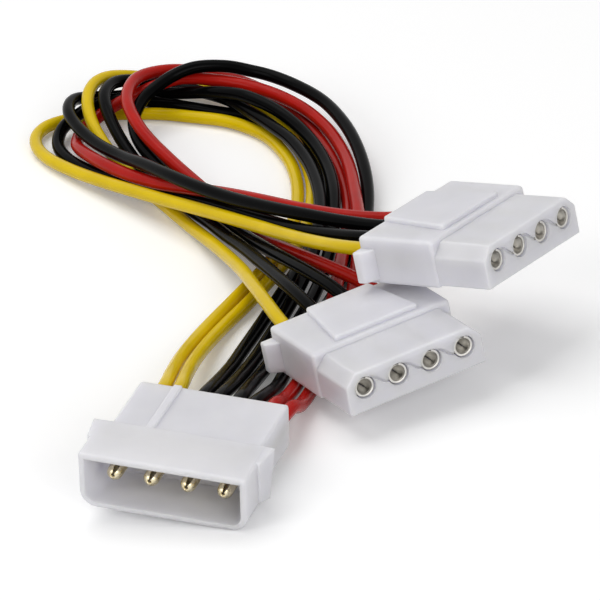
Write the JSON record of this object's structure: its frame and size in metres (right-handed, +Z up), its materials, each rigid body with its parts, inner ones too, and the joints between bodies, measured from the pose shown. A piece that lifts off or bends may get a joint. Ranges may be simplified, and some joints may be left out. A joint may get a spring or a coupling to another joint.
{
  "type": "power splitter cable",
  "caption": "Power splitter cable: a pin plug whose loose insulated wires divide to reach two matching sockets.",
  "frame": {"origin": "on the table under the middle of the box of the three housings with their contacts", "axes": "+Z up from the table; the camera side, where the housings' mating faces look, is -Y; +X to the right"},
  "size_m": [0.0769, 0.1457, 0.0204],
  "materials": {
    "nylon": "translucent milky moulding, satin",
    "pin_metal": "bare rolled brass strip",
    "socket_metal": "tin-plated rolled strip",
    "core_metal": "bare copper strands",
    "yellow_coat": "soft vinyl, satin gloss",
    "black_coat": "soft vinyl, satin gloss",
    "red_coat": "soft vinyl, satin gloss"
  },
  "bodies": {
    "root": {"plug_housing": "nylon", "front_housing": "nylon", "back_housing": "nylon", "plug_pin_1": "pin_metal", "plug_pin_2": "pin_metal", "plug_pin_3": "pin_metal", "plug_pin_4": "pin_metal", "front_contact_1": "socket_metal", "front_contact_2": "socket_metal", "front_contact_3": "socket_metal", "front_contact_4": "socket_metal", "back_contact_1": "socket_metal", "back_contact_2": "socket_metal", "back_contact_3": "socket_metal", "back_contact_4": "socket_metal", "wire_yellow_back": "yellow_coat", "wire_black_back_1": "black_coat", "wire_black_back_2": "black_coat", "wire_red_back": "red_coat", "wire_yellow_front": "yellow_coat", "wire_black_front_1": "black_coat", "wire_black_front_2": "black_coat", "wire_red_front": "red_coat", "core_yellow_back_plug": "core_metal", "core_yellow_back_socket": "core_metal", "core_black_back_1_plug": "core_metal", "core_black_back_1_socket": "core_metal", "core_black_back_2_plug": "core_metal", "core_black_back_2_socket": "core_metal", "core_red_back_plug": "core_metal", "core_red_back_socket": "core_metal", "core_yellow_front_plug": "core_metal", "core_yellow_front_socket": "core_metal", "core_black_front_1_plug": "core_metal", "core_black_front_1_socket": "core_metal", "core_black_front_2_plug": "core_metal", "core_black_front_2_socket": "core_metal", "core_red_front_plug": "core_metal", "core_red_front_socket": "core_metal"}
  },
  "joints": []
}
